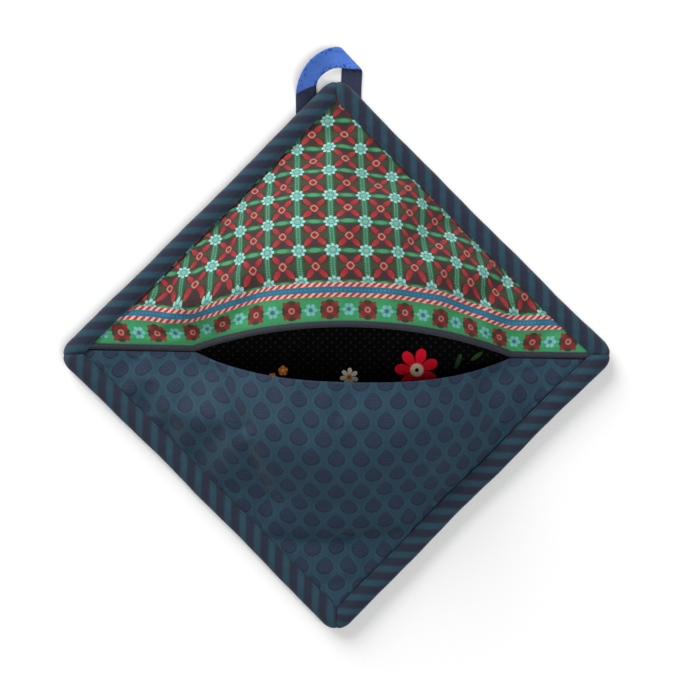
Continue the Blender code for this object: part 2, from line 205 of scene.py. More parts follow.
class Strand:
    """A value in a shader tree, on which Python's arithmetic adds Math nodes."""

    def __init__(self, socket):
        self.socket = socket

    def new_node(self, kind):
        return self.socket.id_data.nodes.new("ShaderNode" + kind)

    def maths(self, operation, *others):
        node = self.new_node("Math")
        node.operation = operation
        feed_all(node, self, *others)
        return Strand(node.outputs[0])

    def __add__(self, other):
        return self.maths("ADD", other)

    __radd__ = __add__

    def __sub__(self, other):
        return self.maths("SUBTRACT", other)

    def __rsub__(self, other):
        return self.maths("MULTIPLY_ADD", -1.0, other)

    def __mul__(self, other):
        return self.maths("MULTIPLY", other)

    __rmul__ = __mul__

    def __truediv__(self, other):
        return self.maths("DIVIDE", other)

    def __abs__(self):
        return self.maths("ABSOLUTE")

    def repeat(self, pitch, middle=0.0):
        """Distance from the nearest of a row of middles that are a pitch apart."""
        return ((self - middle) / pitch + 0.5).maths("FRACT") * pitch - pitch / 2.0

    def whole(self, pitch):
        """Number of the repeat that the value falls in."""
        return (self / pitch + 0.5).maths("FLOOR")

    def eased(self, low, high):
        """0 below low and 1 above high, with a smooth step between them."""
        node = self.new_node("MapRange")
        node.interpolation_type = "SMOOTHSTEP"
        feed_all(node, self, low, high)
        return Strand(node.outputs["Result"])

    def fading(self, low, high):
        """1 below low and 0 above high."""
        return 1.0 - self.eased(low, high)

    def lay(self, under, over):
        """One colour laid over another where the value is 1."""
        node = self.new_node("Mix")
        node.data_type = "RGBA"
        for slot, value in (("Factor", self), ("A", under), ("B", over)):
            feed(node.inputs[slot], value)
        return Strand(node.outputs["Result"])

    def noise(self, scale, detail=3.0):
        """Cloudy noise between 0 and 1, where the value is a place."""
        node = self.new_node("TexNoise")
        for slot, value in (("Vector", self), ("Scale", scale), ("Detail", detail)):
            feed(node.inputs[slot], value)
        return Strand(node.outputs["Fac"])

    def split(self):
        node = self.new_node("SeparateXYZ")
        feed(node.inputs[0], self)
        return Strand(node.outputs[0]), Strand(node.outputs[1])


def feed(slot, value):
    if isinstance(value, Strand):
        slot.id_data.links.new(value.socket, slot)
    else:
        slot.default_value = value


def feed_all(node, *values):
    """Feeds a node's inputs in their order."""
    for slot, value in zip(node.inputs, values):
        feed(slot, value)


def paint(colour, *layers):
    """Inks laid over a colour by turns, each where its mask is 1."""
    for mask, ink in layers:
        colour = mask.lay(colour, ink)
    return colour


def dye(red, green, blue):
    """A colour as it is seen, out of 255, as the linear light that a shader wants."""
    seen = np.array([red, green, blue]) / 255.0
    light = np.where(seen <= 0.04045, seen / 12.92, ((seen + 0.055) / 1.055) ** 2.4)
    return (*[float(value) for value in light], 1.0)


def new_group(name, inputs, outputs):
    """An empty node group: its tree, its inputs as strands and its output.  Its sockets are
    numbers, but for Cloth, which is a place."""
    tree = bpy.data.node_groups.new(name, "ShaderNodeTree")
    for kind, words in (("INPUT", inputs), ("OUTPUT", outputs)):
        for word in words:
            socket_type = "NodeSocketVector" if word == "Cloth" else "NodeSocketFloat"
            tree.interface.new_socket(name=word, in_out=kind, socket_type=socket_type)
    start = tree.nodes.new("NodeGroupInput")
    end = tree.nodes.new("NodeGroupOutput")
    return tree, [Strand(socket) for socket in start.outputs[:len(inputs)]], end


def use_group(group, *values):
    """Places a group with those inputs, of which the first is a strand, and gives its outputs."""
    node = values[0].new_node("Group")
    node.node_tree = group
    feed_all(node, *values)
    return [Strand(socket) for socket in node.outputs]


def make_weave():
    """Plain weave: warp and weft take turns on top in a chequer, each thread a parabola across and
    a flatter one along, with slubs from a noise.  Its Shade is painted shade and light: each thread
    is coloured darker towards its sides and ends, where it dips, and lighter on its crown, with the
    slubs' tone added."""
    tree, (place, pitch), end = new_group("plain weave", ("Cloth", "Pitch"), ("Height", "Shade"))
    u, v = place.split()
    u_threads, v_threads = u / pitch, v / pitch
    turn = (u_threads.maths("FLOOR") + v_threads.maths("FLOOR")).maths("PINGPONG", 1.0)
    in_u = u_threads.maths("FRACT") * 2.0 - 1.0
    in_v = v_threads.maths("FRACT") * 2.0 - 1.0
    across = in_u + (in_v - in_u) * turn
    along = in_v + (in_u - in_v) * turn
    height = (1.0 - across * across) * (1.0 - along * along * 0.45)
    slub = place.noise(0.9, 2.0)
    # Shade: painted shade in the weave's hollows and painted light on its crowns, times the slubs'
    # tone.
    feed_all(end, height * (slub * 0.5 + 0.75), height * 0.22 + slub * 0.3 + 0.72)
    return tree


def make_leaf():
    """Leaf or petal from Near to Far on a line through the origin at Turn: full where the
    distance from the line is under Half Width times the root of 4t(1-t), an ellipse."""
    tree, (x, y, turn, near, far, half_width), end = new_group(
        "leaf", ("X", "Y", "Turn", "Near", "Far", "Half Width"), ("Mask", "Share"))
    cosine, sine = turn.maths("COSINE"), turn.maths("SINE")
    along = x * cosine + y * sine
    across = abs(y * cosine - x * sine)
    share = (along - near) / (far - near)
    bulge = (4.0 * share * (1.0 - share)).maths("MAXIMUM", 0.0).maths("SQRT")
    edge = half_width * bulge - across
    feed_all(end, edge.eased(0.0, 0.28), share)
    return tree


def make_rosette():
    """Flower with Petals round lobes: full inside Radius times 1 - Depth + Depth |cos(n turn / 2)|.
    Seam is 1 between two petals, and Share is the distance from the middle over the radius."""
    tree, (x, y, radius, petals, depth, start), end = new_group(
        "rosette", ("X", "Y", "Radius", "Petals", "Depth", "Start"), ("Mask", "Seam", "Share"))
    away = (x * x + y * y).maths("SQRT")
    turn = y.maths("ARCTAN2", x) + start
    lobe = abs((turn * petals * 0.5).maths("COSINE"))
    edge = radius * (1.0 - depth + depth * lobe.maths("POWER", 0.6)) - away
    feed_all(end, edge.eased(-0.14, 0.18), lobe.fading(0.0, 0.45), away / radius)
    return tree


weave = make_weave()
leaf = make_leaf()
rosette = make_rosette()


CLOTH_ROUGHNESS = 0.86
WEAVE_RELIEF = 0.1


def cloth_material(name, draw, pitch=0.55, sheen=0.08, specular=0.2):
    """Woven cotton whose colour draw works out from the flat cloth's u and v in millimetres, with
    faded and fuller dye by a slow noise, painted shade that darkens the weave where its threads dip
    and lightens their crowns, and weave and slubs as bump."""
    material = bpy.data.materials.new(name)
    material.use_nodes = True
    tree = material.node_tree
    shader = tree.nodes["Principled BSDF"]
    source = tree.nodes.new("ShaderNodeUVMap")
    source.uv_map = "Cloth"
    place = Strand(source.outputs[0])
    u, v = place.split()
    colour, raised = draw(u, v, place)
    height, painted_weave_shade_and_slubs = use_group(weave, place, pitch)
    fade = place.noise(0.045, 4.0)
    tone = tree.nodes.new("ShaderNodeHueSaturation")
    # The colour's value is scaled by the weave's painted shade and crown light, and by the slow dye
    # noise.
    feed(tone.inputs["Value"], painted_weave_shade_and_slubs * (fade * 0.24 + 0.88))
    feed(tone.inputs["Color"], colour)
    feed(shader.inputs["Base Color"], Strand(tone.outputs[0]))
    feed(shader.inputs["Roughness"], CLOTH_ROUGHNESS - height * 0.08)
    shader.inputs["Sheen Weight"].default_value = sheen
    shader.inputs["Sheen Roughness"].default_value = 0.5
    shader.inputs["Specular IOR Level"].default_value = specular
    bump = tree.nodes.new("ShaderNodeBump")
    bump.inputs["Strength"].default_value = 0.55
    bump.inputs["Distance"].default_value = WEAVE_RELIEF * MM
    feed(bump.inputs["Height"], height + raised)
    feed(shader.inputs["Normal"], Strand(bump.outputs[0]))
    return material


LINING_BLACK = dye(1, 1, 2)
LINING_DOT = dye(44, 50, 48)
LINING_RED = dye(236, 22, 46)
LINING_CREAM = dye(240, 214, 186)
LINING_ORANGE = dye(240, 140, 56)
LINING_WHITE = dye(240, 232, 214)
LINING_LEAF = dye(36, 66, 30)
LINING_REPEAT = (200.0, 150.0)
# (across, up, radius, petals, depth, first petal, petal colour, heart colour)
LINING_FLOWERS = (
    (44.3, -8.3, 12.2, 7, 0.62, 0.5, LINING_RED, LINING_CREAM),
    (7, -12.2, 5.2, 7, 0.62, 0.3, LINING_WHITE, LINING_ORANGE),
    (-29.6, -8.6, 2.8, 5, 0.3, 0.9, LINING_ORANGE, LINING_CREAM),
    (-35.4, -12, 2.3, 5, 0.3, 0.2, LINING_ORANGE, LINING_CREAM),
    (-56, 48, 9.5, 8, 0.4, 0.1, LINING_RED, LINING_ORANGE),
    (-16, 60, 4.4, 6, 0.45, 0.7, LINING_WHITE, LINING_ORANGE),
    (22, 42, 3.2, 5, 0.3, 0.4, LINING_ORANGE, LINING_CREAM),
    (64, 52, 10.5, 7, 0.42, 1.2, LINING_RED, LINING_CREAM),
    (-62, -44, 4.6, 6, 0.5, 0.2, LINING_WHITE, LINING_ORANGE),
    (-20, -52, 11, 7, 0.42, 0.9, LINING_RED, LINING_CREAM),
    (28, -46, 3, 5, 0.3, 0.1, LINING_ORANGE, LINING_CREAM),
    (58, -64, 8.6, 8, 0.4, 0.3, LINING_RED, LINING_ORANGE),
    (-92, 30, 4.6, 6, 0.5, 0.6, LINING_WHITE, LINING_ORANGE),
    (96, -28, 9.5, 7, 0.42, 0.2, LINING_RED, LINING_CREAM),
    (92, 30, 3, 5, 0.3, 0.8, LINING_ORANGE, LINING_CREAM),
)
# (across, up, turn, length, half width)
LINING_LEAVES = (
    (65.5, -7.6, 1.2, 9, 1.4), (74, -3, 0.6, 8, 1.3), (-44, 40, 5.4, 9, 1.5),
    (-66, 39, 3.7, 9, 1.5), (52, 44, 3.9, 9, 1.6), (76, 46, 5.6, 8, 1.4), (-31, -61, 3.9, 10, 1.6),
    (-8, -60, 5.5, 9, 1.5), (47, -58, 2.6, 8, 1.4), (14, 56, 1, 8, 1.4), (-4, -30, 2.2, 9, 1.5),
)


def draw_lining(u, v, place):
    """Black ground with staggered grey dots, and flowers and leaves that come again each repeat."""
    wide, tall = LINING_REPEAT
    dots = 0.0
    for shift_u, shift_v in ((0.0, 0.0), (2.6, 2.3)):
        dot_u, dot_v = u.repeat(5.2, shift_u), v.repeat(4.6, shift_v)
        away = (dot_u * dot_u + dot_v * dot_v).maths("SQRT")
        dots = away.fading(0.35, 0.75).maths("MAXIMUM", dots)
    colour = (dots * place.noise(0.2) * 0.9).lay(LINING_BLACK, LINING_DOT)
    for at_u, at_v, turn, length, half_width in LINING_LEAVES:
        x, y = u.repeat(wide, at_u), v.repeat(tall, at_v)
        mask, _ = use_group(leaf, x, y, turn, 0.0, length, half_width)
        colour = mask.lay(colour, LINING_LEAF)
    for at_u, at_v, radius, petals, depth, start, petal, heart in LINING_FLOWERS:
        x, y = u.repeat(wide, at_u), v.repeat(tall, at_v)
        mask, seam, share = use_group(rosette, x, y, radius, petals, depth, start)
        dark = tuple(value * 0.35 for value in petal[:3]) + (1.0,)
        ink = paint(petal, (seam * 0.8, dark), (share.fading(0.25, 0.34), heart),
                    (share.fading(0.06, 0.12), LINING_BLACK))
        colour = mask.lay(colour, ink)
    return colour, 0.0


lining_cloth = cloth_material("printed black lining", draw_lining, sheen=0.02, specular=0.06)


def pad_share(p, q):
    """Swelling of the quilting: 0 in a channel, easing to 1 in the middle of a pad, as the
    product over both directions of 1 - exp(-(distance / rounding)^2)."""
    share = np.ones(np.broadcast(p, q).shape)
    for across in (p, q):
        away = np.abs((across / QUILT_PITCH) % 1.0 - 0.5) * QUILT_PITCH
        share = share * (1.0 - bell(away, QUILT_ROUNDING))
    return share


def panel_faces(p, q):
    """Heights of the panel's two faces at (p, q): pads flat on the table, grooves between them,
    and an even thin edge that starts under the binding's hem."""
    share = pad_share(p, q)
    gripped = ease(np.clip((np.maximum(np.abs(p), np.abs(q)) - 98.0) / 4.0 + 1.0, 0.0, 1.0))
    middle = np.sin(math.pi / 2.0 * share)
    uneven = PAD_WAVES * soft_waves(p, q, 3, 14.0, 46.0) * share
    top = PANEL_TOP - QUILT_GROOVE * (1.0 - middle) + uneven * 0.5
    low = QUILT_GROOVE * (1.0 - middle) + np.clip(uneven, 0.0, None) * (1.0 - share) * 4.0
    return top + (PANEL_TOP - top) * gripped, low + (PANEL_EDGE_BOTTOM - low) * gripped


def panel_points(p, q):
    x, y = to_plan(*round_corners(p, q, EDGE_INSET))
    top, low = panel_faces(p, q)
    return join(x, y, top), join(x, y, low)


panel_lines = np.linspace(EDGE_INSET - HALF_SIDE, HALF_SIDE - EDGE_INSET, PANEL_LINES)
panel_p, panel_q = np.meshgrid(panel_lines, panel_lines)
panel_top, panel_low = panel_points(panel_p, panel_q)
held_down = np.clip(1.3 - 2.0 * pad_share(panel_p, panel_q), 0.0, 1.0)
held_down[np.maximum(np.abs(panel_p), np.abs(panel_q)) > 96.0] = 1.0
held_down[[0, -1]] = held_down[:, [0, -1]] = 1.0
panel_top = panel_top + settle(panel_top, held_down, 0.012, 0.7)
panel_low = panel_low + settle(panel_low, held_down, 0.012, 0.7)
panel_top[..., 2] = np.minimum(panel_top[..., 2], PANEL_TOP + 0.25)
panel_low[..., 2] = np.clip(panel_low[..., 2], 0.0, None)
back_panel = cloth_mesh(
    "quilted_back_panel", panel_top, panel_low, panel_top[..., :2], [lining_cloth])
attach(back_panel, "root")
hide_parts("back_panel")

# ---- Pockets -----------------------------------------------------------------------------------
# Two lined half squares of padded cotton, sewn down with the panel along two sides each.
# They bow apart along the diagonal into the mouth: the upper one is printed with a flower
# lattice over borders, and the lower one with medallions in a dark scale pattern.
POCKET_BASE = 5.5
POCKET_THICK = 2.2
SEWN_SHARE = 0.75
FLAT_MARGIN = 12.0
MOUTH_MIDDLE_X = 9.0
MOUTH_HALF_WIDTH = 86.6
MOUTH_LINE_Y = 0.7
MOUTH_LINE_SLOPE = -0.019
MOUTH_PINCH_DEPTH = 26.0
CUT_SMOOTHING = 9.0
POCKET_WAVES = 0.55
LIP_LIFT = 0.7
POCKET_COLUMNS = 220
POCKET_ROWS = 84
SETTLED_COLUMNS, SETTLED_ROWS = 110, 45
HEM_DISTANCES = np.array([3.0, 2.1, 1.4, 0.85, 0.42, 0.14, 0.0])
POCKETS = {
    "upper_pocket": dict(side=1, height=38.0, run=68.0, open=14.3, square=2.0, back_off=1.0),
    "lower_pocket": dict(side=-1, height=31.0, run=52.0, open=14.6, square=2.6, back_off=0.4),
}
LOWER_POCKET_FOOT = (    # (y, share of the height that is left there)
    (-135, 0.3), (-122, 0.26), (-108, 0.16), (-102, 0.19), (-95, 0.32), (-88, 0.43), (-78, 0.52),
    (-69, 0.67), (-53, 0.91), (-37, 1),
)
FOLDS = (                # (pocket, from x, from y, to x, to y, half width, depth)
    ("lower_pocket", -66, -6, -49, -38, 5, 6.2),
    ("lower_pocket", -47, -50, -36, -78, 5, 3.4),
    ("lower_pocket", -80, -22, -62, -56, 9, 3),
    ("lower_pocket", 88, -10, 68, -58, 10, 3.5),
    ("lower_pocket", -34, -105, 4, -99, 4.5, 5),
    ("lower_pocket", 4, -99, 44, -96, 4.5, 4.5),
    ("upper_pocket", -66, 12, -42, 34, 7, 3),
    ("upper_pocket", 82, 10, 60, 36, 7, 3),
)


def to_square(x, y):
    """Plan place turned an eighth: (x + y) / root 2 and (y - x) / root 2."""
    return (x + y) / ROOT2, (y - x) / ROOT2


def smooth_table(value, table):
    """Reads a two-column table by cubic Hermite pieces between its rows."""
    places = np.array([row[0] for row in table])
    levels = np.array([row[1] for row in table])
    slopes = np.gradient(levels, places)
    value = np.clip(value, places[0], places[-1])
    left = np.clip(np.searchsorted(places, value, side="right") - 1, 0, len(places) - 2)
    span = places[left + 1] - places[left]
    t = (value - places[left]) / span
    rise = levels[left + 1] - levels[left]
    bend = t * (1.0 - t) * ((1.0 - t) * slopes[left] - t * slopes[left + 1]) * span
    return levels[left] + ease(t) * rise + bend


def mouth_share(x, square):
    """1 in the middle of the mouth and 0 at its two ends, as 1 - |distance|^square."""
    across = np.abs((x - MOUTH_MIDDLE_X) / MOUTH_HALF_WIDTH)
    return np.clip(1.0 - across ** square, 0.0, None)


def mouth_edge(x, pocket):
    """Height on the page of a pocket's own edge: the mouth line, bowed away from it."""
    away = pocket["back_off"] + pocket["open"] * mouth_share(x, pocket["square"])
    return MOUTH_LINE_Y + MOUTH_LINE_SLOPE * x + pocket["side"] * away


def seam_rise(inset, run):
    """A quarter sine: 0 at the binding's hem, 1 from a run away from it."""
    return np.sin(math.pi / 2.0 * np.clip((inset - FLAT_MARGIN - 0.5) / run, 0.0, 1.0))


def fold_depth(name, x, y):
    """Depth of the soft folds: a bell curve of the distance from each fold's line."""
    depth = np.zeros_like(x)
    for pocket, x1, y1, x2, y2, half_width, deep in FOLDS:
        if pocket != name:
            continue
        along_x, along_y = x2 - x1, y2 - y1
        share = ((x - x1) * along_x + (y - y1) * along_y) / (along_x ** 2 + along_y ** 2)
        share = np.clip(share, 0.0, 1.0)
        away = np.hypot(x - x1 - share * along_x, y - y1 - share * along_y)
        depth = depth + deep * bell(away, half_width)
    return depth


def pocket_height(name, x, y):
    """Rise of a pocket's underside over its flat height: the two seams' quarter sines multiplied,
    pinched down at the mouth's ends, with folds pressed in and slow waves added."""
    pocket = POCKETS[name]
    side = pocket["side"]
    p, q = to_square(x, y)
    inset_p, inset_q = HALF_SIDE - side * p, HALF_SIDE - side * q
    rise = seam_rise(inset_p, pocket["run"]) * seam_rise(inset_q, pocket["run"])
    from_mouth = side * (y - mouth_edge(x, pocket))
    pinch = bell(np.clip(from_mouth, 0.0, None), MOUTH_PINCH_DEPTH)
    crown = 1.0 - (1.0 - mouth_share(x, 2.2)) * pinch
    height = pocket["height"] * rise * crown
    if name == "lower_pocket":
        height = height * smooth_table(y, LOWER_POCKET_FOOT)
    height = np.clip(height - fold_depth(name, x, y) * rise * crown, 0.0, None)
    loose = np.clip((np.minimum(inset_p, inset_q) - FLAT_MARGIN) / 16.0, 0.0, 1.0)
    quiet = 1.0 - bell(from_mouth, 9.0)
    height = height + POCKET_WAVES * soft_waves(x, y, 11, 16.0, 60.0) * loose * quiet
    if name == "upper_pocket":
        height = height + LIP_LIFT * bell(from_mouth, 6.0)
    return height


def pocket_plan(name):
    """Grid of plan places: columns of one x each, from the sewn edges to the mouth, with rows
    crowded together at the mouth's hem."""
    pocket = POCKETS[name]
    side = pocket["side"]
    reach = (HALF_SIDE - EDGE_INSET) * ROOT2
    end = reach - 2.0
    left = -(end - max(0.0, side * mouth_edge(-end, pocket)))
    right = end - max(0.0, side * mouth_edge(end, pocket))
    x = np.linspace(left, right, POCKET_COLUMNS)
    sewn = side * (reach - np.abs(x))
    mouth = mouth_edge(x, pocket)
    length = np.abs(sewn - mouth)
    hem = HEM_DISTANCES[:, None] * np.minimum(1.0, 0.3 * length / HEM_DISTANCES[0])
    away = np.linspace(1.0, 0.0, POCKET_ROWS)[:-1, None] * (length - hem[0]) + hem[0]
    away = np.vstack([away, hem])
    return np.broadcast_to(x, away.shape), mouth + side * away, away


def read_grid(values, row, column):
    """A grid of values read at fractions of rows and columns, by straight lines between them."""
    i = np.minimum(row.astype(int), values.shape[0] - 2)
    j = np.minimum(column.astype(int), values.shape[1] - 2)
    a, b = row - i, column - j
    if values.ndim == 3:
        a, b = a[..., None], b[..., None]
    near = values[i, j] * (1.0 - b) + values[i, j + 1] * b
    far = values[i + 1, j] * (1.0 - b) + values[i + 1, j + 1] * b
    return near * (1.0 - a) + far * a


def cloth_places(name, x, y):
    """Where the plan points lie on the flat cloth: lengths along the swollen surface, across from
    the middle and up from the mouth's edge, summed over a fine raster."""
    pocket = POCKETS[name]
    side = pocket["side"]
    xs = np.linspace(-156.0, 156.0, 313)
    ys = np.linspace(-20.0, 160.0, 181) * side
    raster_x, raster_y = np.meshgrid(xs, ys)
    z = pocket_height(name, raster_x, raster_y)
    step_x = np.sqrt(1.0 + np.gradient(z, xs, axis=1) ** 2)
    step_y = np.sqrt(1.0 + np.gradient(z, ys, axis=0) ** 2)
    along_x = np.cumsum(step_x, axis=1) * (xs[1] - xs[0])
    along_y = np.cumsum(step_y, axis=0)

    def read(values, at_x, at_y):
        column = np.clip((at_x - xs[0]) / (xs[1] - xs[0]), 0.0, len(xs) - 1.001)
        row = np.clip((at_y - ys[0]) / (ys[1] - ys[0]), 0.0, len(ys) - 1.001)
        return read_grid(values, row, column)

    spread = np.linspace(-2.5, 2.5, 21)
    weights = np.exp(-spread ** 2 / 2.0)
    blurred = mouth_edge(x[..., None] + CUT_SMOOTHING * spread, pocket) @ (weights / weights.sum())
    u = read(along_x, x, y) - read(along_x, np.zeros_like(x), y)
    v = side * (read(along_y, x, y) - read(along_y, x, blurred))
    return u, v


PRINT_SKEW = 0.038
PRINT_DRIFT = (     # (across, up at the border, up at the lattice, along at each of the two)
    (-130, -0.1, 1.6, -2.1, 0), (-109, 0.5, 1.8, -2.5, 0), (-96, 0.9, 3.4, -2.6, 0),
    (-86, 1.3, 5.4, -2.5, 0), (-65, 1.4, 4.3, -1.7, 0), (-46, 1.1, 2.7, -0.3, 0),
    (-28, 0.6, 1.5, 1, 0), (-10, 0, 0.4, 1, 0), (6, 0, 0.2, 0.8, 0), (24, -0.2, 0.9, 0.3, 0),
    (43, 0.1, 2.4, 0.1, 0), (62, 0.2, 2.2, 0.8, 0), (79, -0.3, 1.2, 1.2, -0.9),
    (96, -0.9, 0.9, 0.2, -1.8), (118, -0.8, 1, -0.4, -2.4), (138, -0.7, 1, -0.8, -2.6),
)


def print_places(u, v):
    """The print lies a little askew on the cut cloth: its rows wander up and down and along as
    a table says, at the border and, turned by a small slope, from the lattice up."""
    drift = np.array(PRINT_DRIFT)
    up, high_up, along, high_along = [smooth_table(u, drift[:, [0, k]]) for k in (1, 2, 3, 4)]
    share = ease(np.clip((v - up - 23.5) / 8.0, 0.0, 1.0))
    high_along = high_along - PRINT_SKEW * (v - 31.0)
    return u - along - (high_along - along) * share, v - up - (high_up - up) * share


def settled_move(points, away, inset, loose_from):
    """The pocket's wrinkles: its cloth settled on a coarser grid, held at its sewn edges and for
    a way in from the mouth, and read back on the full grid."""
    rows = np.linspace(0, points.shape[0] - 1, SETTLED_ROWS).round().astype(int)
    columns = np.linspace(0, points.shape[1] - 1, SETTLED_COLUMNS).round().astype(int)
    held = np.clip((FLAT_MARGIN + 2.5 - inset) / 2.5, 0.0, 1.0)
    held = np.maximum(held, np.clip((loose_from + 3.0 - away) / 3.0, 0.0, 1.0))
    coarse = np.ix_(rows, columns)
    move = settle(points[coarse], held[coarse], 0.02, 2.4)
    row = np.interp(np.arange(points.shape[0]), rows, np.arange(SETTLED_ROWS))
    column = np.linspace(0.0, SETTLED_COLUMNS - 1.0, points.shape[1])
    full = read_grid(move, row[:, None], column[None, :])
    return full * (1.0 - np.clip((loose_from + 1.0 - away) / 2.0, 0.0, 1.0))[..., None]


def grid_normals(points):
    """Unit normals of a grid: the cross product of its steps along a row and along a column."""
    normal = np.cross(np.gradient(points, axis=1), np.gradient(points, axis=0))
    return normal / np.maximum(np.linalg.norm(normal, axis=-1), 1e-9)[..., None]


def round_nose(away, reach):
    """Quarter ellipse: the root of 1 - (1 - away / reach)^2, and 1 from reach on."""
    return np.sqrt(1.0 - (1.0 - np.clip(away / reach, 0.0, 1.0)) ** 2)[..., None]


def pocket_mesh(name, piece_name, materials, hem_width, loose_from):
    """The pocket's underside from its height, and its outside a thickness away along the normal,
    both drawn to the middle of the thickness at the mouth by a quarter ellipse."""
    x, y, away = pocket_plan(name)
    p, q = to_square(x, y)
    plan_x, plan_y = to_plan(*round_corners(p, q, EDGE_INSET))
    under = join(plan_x, plan_y, POCKET_BASE + pocket_height(name, x, y))
    side = POCKETS[name]["side"]
    normal = grid_normals(under)
    normal = normal * np.sign(normal[..., 2:])
    inset = HALF_SIDE - np.maximum(np.abs(p), np.abs(q))
    move = settled_move(under, away, inset, loose_from)
    under = under + move
    under[..., 2] = np.maximum(under[..., 2], POCKET_BASE)
    sewn = np.clip((inset - FLAT_MARGIN + 1.0) / 3.0, 0.0, 1.0)
    share = SEWN_SHARE + (1.0 - SEWN_SHARE) * sewn
    if name == "upper_pocket":
        share = share * (1.0 - 0.4 * np.clip(1.0 - away / 5.0, 0.0, 1.0))
    nose = round_nose(away, hem_width)
    thick = (POCKET_THICK * share)[..., None]
    front = under + thick * (0.5 + 0.5 * nose) * normal
    back = under + thick * (0.5 - 0.5 * nose) * normal
    u, v = cloth_places(name, x, y)
    if side > 0:
        u, v = print_places(u, v)
    flat = join(u, v)
    if side < 0:
        front, back, flat = front[::-1], back[::-1], flat[::-1]
    return cloth_mesh(piece_name, front[::-1], back[::-1], flat[::-1], materials)


GREEN = dye(48, 104, 72)
DEEP_GREEN = dye(34, 80, 54)
BORDER_GREEN = dye(48, 132, 86)
BROWN = dye(60, 46, 34)
PLUM = dye(54, 38, 40)
OLIVE = dye(50, 60, 40)
RED = dye(140, 36, 40)
ORANGE_RED = dye(152, 56, 42)
DARK_RED = dye(116, 22, 28)
CREAM = dye(168, 118, 102)
AQUA = dye(104, 164, 156)
AQUA_PALE = dye(138, 186, 178)
BLUE_TEAL = dye(38, 104, 112)
YELLOW_GREEN = dye(126, 156, 96)
BRIGHT_GREEN = dye(56, 134, 88)
CANDY_RED = dye(156, 44, 52)
CANDY_CREAM = dye(206, 160, 150)
BAND_BLUE = dye(34, 98, 124)
DULL_RED = dye(112, 40, 42)
LEAF_GREEN = dye(66, 136, 68)
LATTICE_U, LATTICE_V = 17.6, 16.5
LATTICE_MIDDLE = (7.4, 31.1)
BORDER_PITCH, BORDER_V = 20.3, 8.7
BORDER_U = -4.0
CORDS_V = (16.4, 21.8)
CORD_PITCH = 3.85


def draw_lattice(u, v, mottle):
    """Cells of four diagonal petals round a ring, with an eight-lobed star on each corner and
    green strips between the cells; folded to one quarter cell by absolute values."""
    a, b = abs(u.repeat(LATTICE_U, LATTICE_MIDDLE[0])), abs(v.repeat(LATTICE_V, LATTICE_MIDDLE[1]))
    quarter = math.pi / 4.0
    edge_u, edge_v = LATTICE_U / 2.0 - a, LATTICE_V / 2.0 - b
    side_lobe, _ = use_group(leaf, a, b, 0.0, 1.0, 8.4, 2.3)
    up_lobe, _ = use_group(leaf, a, b, 2.0 * quarter, 1.4, 8.0, 2.6)
    strip = edge_u.maths("MINIMUM", edge_v + 0.6)
    oval = (a / 3.6).maths("POWER", 2.0) + (edge_v / 1.3).maths("POWER", 2.0)
    bead = (v * 5.2).maths("SINE").eased(-0.5, 0.5)
    beads = abs(edge_u - 0.85).fading(0.15, 0.45) * bead
    dark_edge, _ = use_group(leaf, a, b, quarter, 1.2, 9.0, 2.4)
    petal, along = use_group(leaf, a, b, quarter, 1.7, 7.9, 1.5)
    petal_ink = paint(
        DARK_RED, (along.eased(0.05, 0.45), RED),
        (along.eased(0.55, 0.95) * mottle * 1.4, ORANGE_RED))
    star, seam, share = use_group(rosette, edge_u, edge_v * 1.12, 4.1, 8.0, 0.46, 0.0)
    star_ink = paint(
        AQUA, (share.eased(0.45, 0.8), AQUA_PALE), (seam * 0.85, BLUE_TEAL),
        (abs(share - 0.44).fading(0.03, 0.12) * 0.7, BLUE_TEAL),
        (share.fading(0.14, 0.26), YELLOW_GREEN))
    speck = (mottle * 8.0).maths("SINE").eased(0.2, 1.0)
    ring = (a.maths("POWER", 1.4) + b.maths("POWER", 1.4)).maths("POWER", 0.714)
    return paint(
        BROWN, (up_lobe, PLUM), (side_lobe * (mottle * 0.6 + 0.5), OLIVE),
        (strip.fading(1.5, 2.3), DEEP_GREEN), (strip.fading(0.9, 1.7), GREEN),
        (oval.fading(0.4, 1.2), BRIGHT_GREEN), (beads * 0.55, AQUA), (dark_edge * 0.8, PLUM),
        (petal, petal_ink), (star, star_ink), (speck * 0.3, PLUM),
        (ring.fading(1.9, 2.5) * 0.92, CREAM), (ring.fading(1.15, 1.65), DARK_RED))


def draw_border(u, v, mottle):
    """Green band on which crossed flowers and small six-lobed blossoms take turns."""
    x, y = abs(u.repeat(BORDER_PITCH, BORDER_U)), abs(v - BORDER_V)
    quarter = math.pi / 4.0
    lobes, _, _ = use_group(rosette, x, y, 5.4, 4.0, 0.2, 0.0)
    petal, along = use_group(leaf, x, y, quarter, 0.9, 6.4, 1.7)
    away = (x * x + y * y).maths("SQRT")
    beside = BORDER_PITCH / 2.0 - x
    blossom, seam, share = use_group(rosette, beside, y, 3.5, 6.0, 0.35, 0.0)
    curl, _ = use_group(leaf, beside, y, 0.0, 3.4, 5.4, 0.6)
    return paint(
        BORDER_GREEN, (y.eased(4.4, 6.0) * 0.35, GREEN),
        (mottle.eased(0.45, 0.75) * 0.6, LEAF_GREEN), (lobes, BROWN),
        (petal * 0.92, along.eased(0.2, 0.8).lay(DARK_RED, DULL_RED)),
        (away.fading(1.4, 2.0) * 0.75, CREAM), (away.fading(0.6, 1.1), DARK_RED),
        (blossom, paint(AQUA, (seam * 0.7, BLUE_TEAL), (share.fading(0.25, 0.45), BLUE_TEAL))),
        (curl * 0.6, AQUA))


